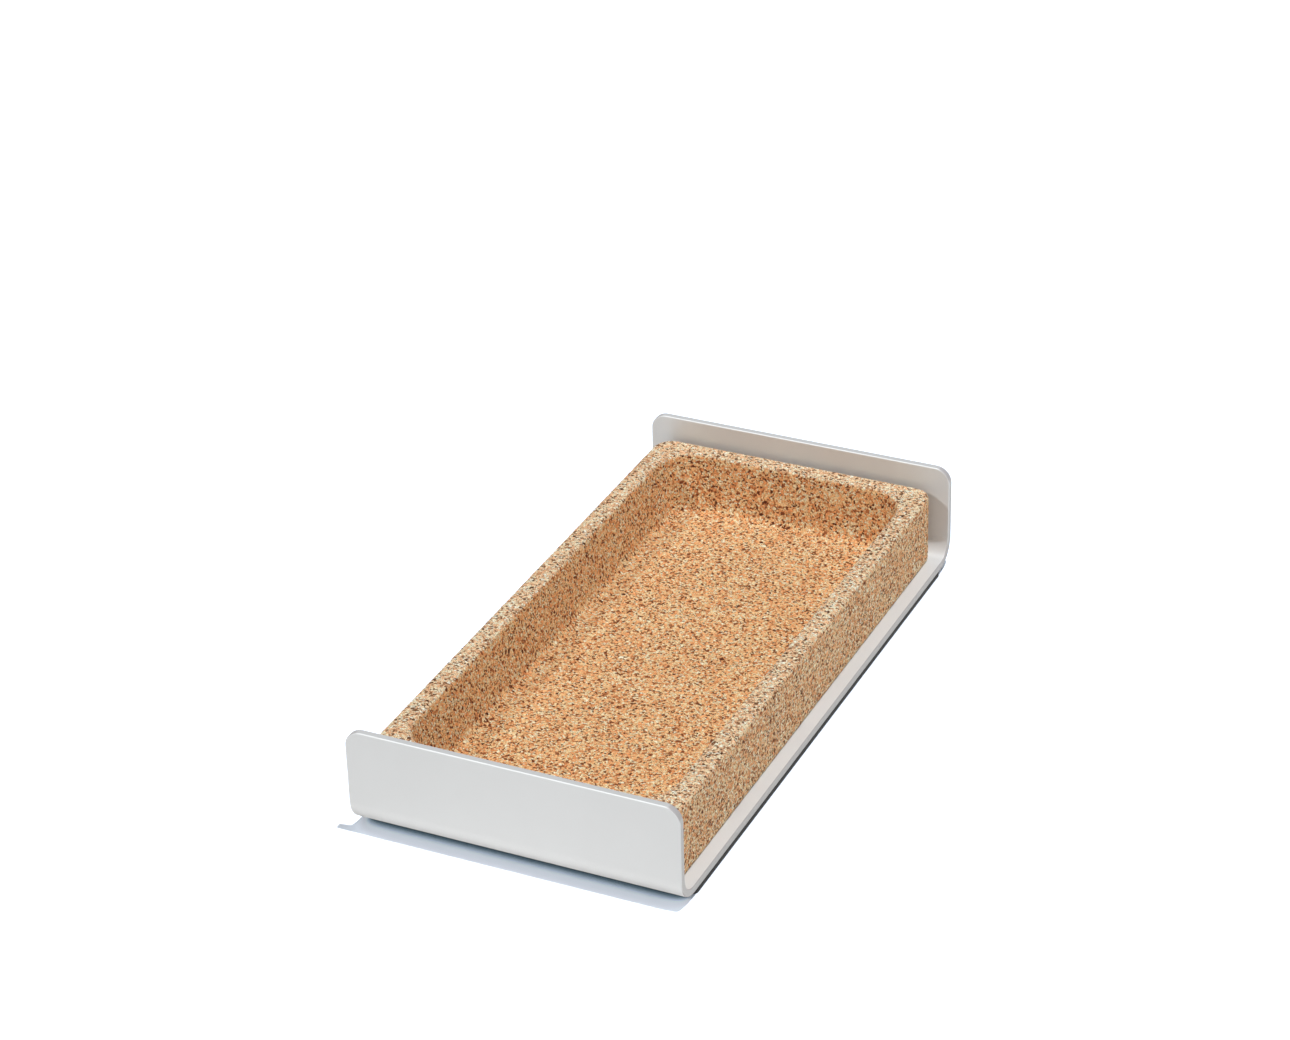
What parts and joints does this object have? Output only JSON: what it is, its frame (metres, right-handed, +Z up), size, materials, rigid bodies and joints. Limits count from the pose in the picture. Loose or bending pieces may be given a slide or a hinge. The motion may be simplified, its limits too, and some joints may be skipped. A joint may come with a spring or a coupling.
{
  "type": "desk tray",
  "caption": "Long desk tray: an open cork tray with a tapered well that lifts out of a U-shaped bent aluminium carrier on a rubber pad.",
  "frame": {"origin": "middle of the underside, on the surface that the tray stands on", "axes": "+Z up, +Y along the tray's length towards the rear upstand, +X across it; the front upstand is at -Y"},
  "size_m": [0.11, 0.2214, 0.036],
  "materials": {
    "sheet": "fine bead-blasted, clear anodised, satin",
    "cork": "agglomerated cork, sanded, matt, with tan and dark brown granules about a millimetre across",
    "pad": "matt black"
  },
  "bodies": {
    "carrier": {"carrier": "sheet", "base_pad": "pad"},
    "tray": {"cork_tray": "cork"}
  },
  "joints": [
    {"name": "tray_lift", "type": "slide", "parent": "carrier", "child": "tray", "axis": [0, 0, 1], "range_m": [0, 0.04]}
  ]
}
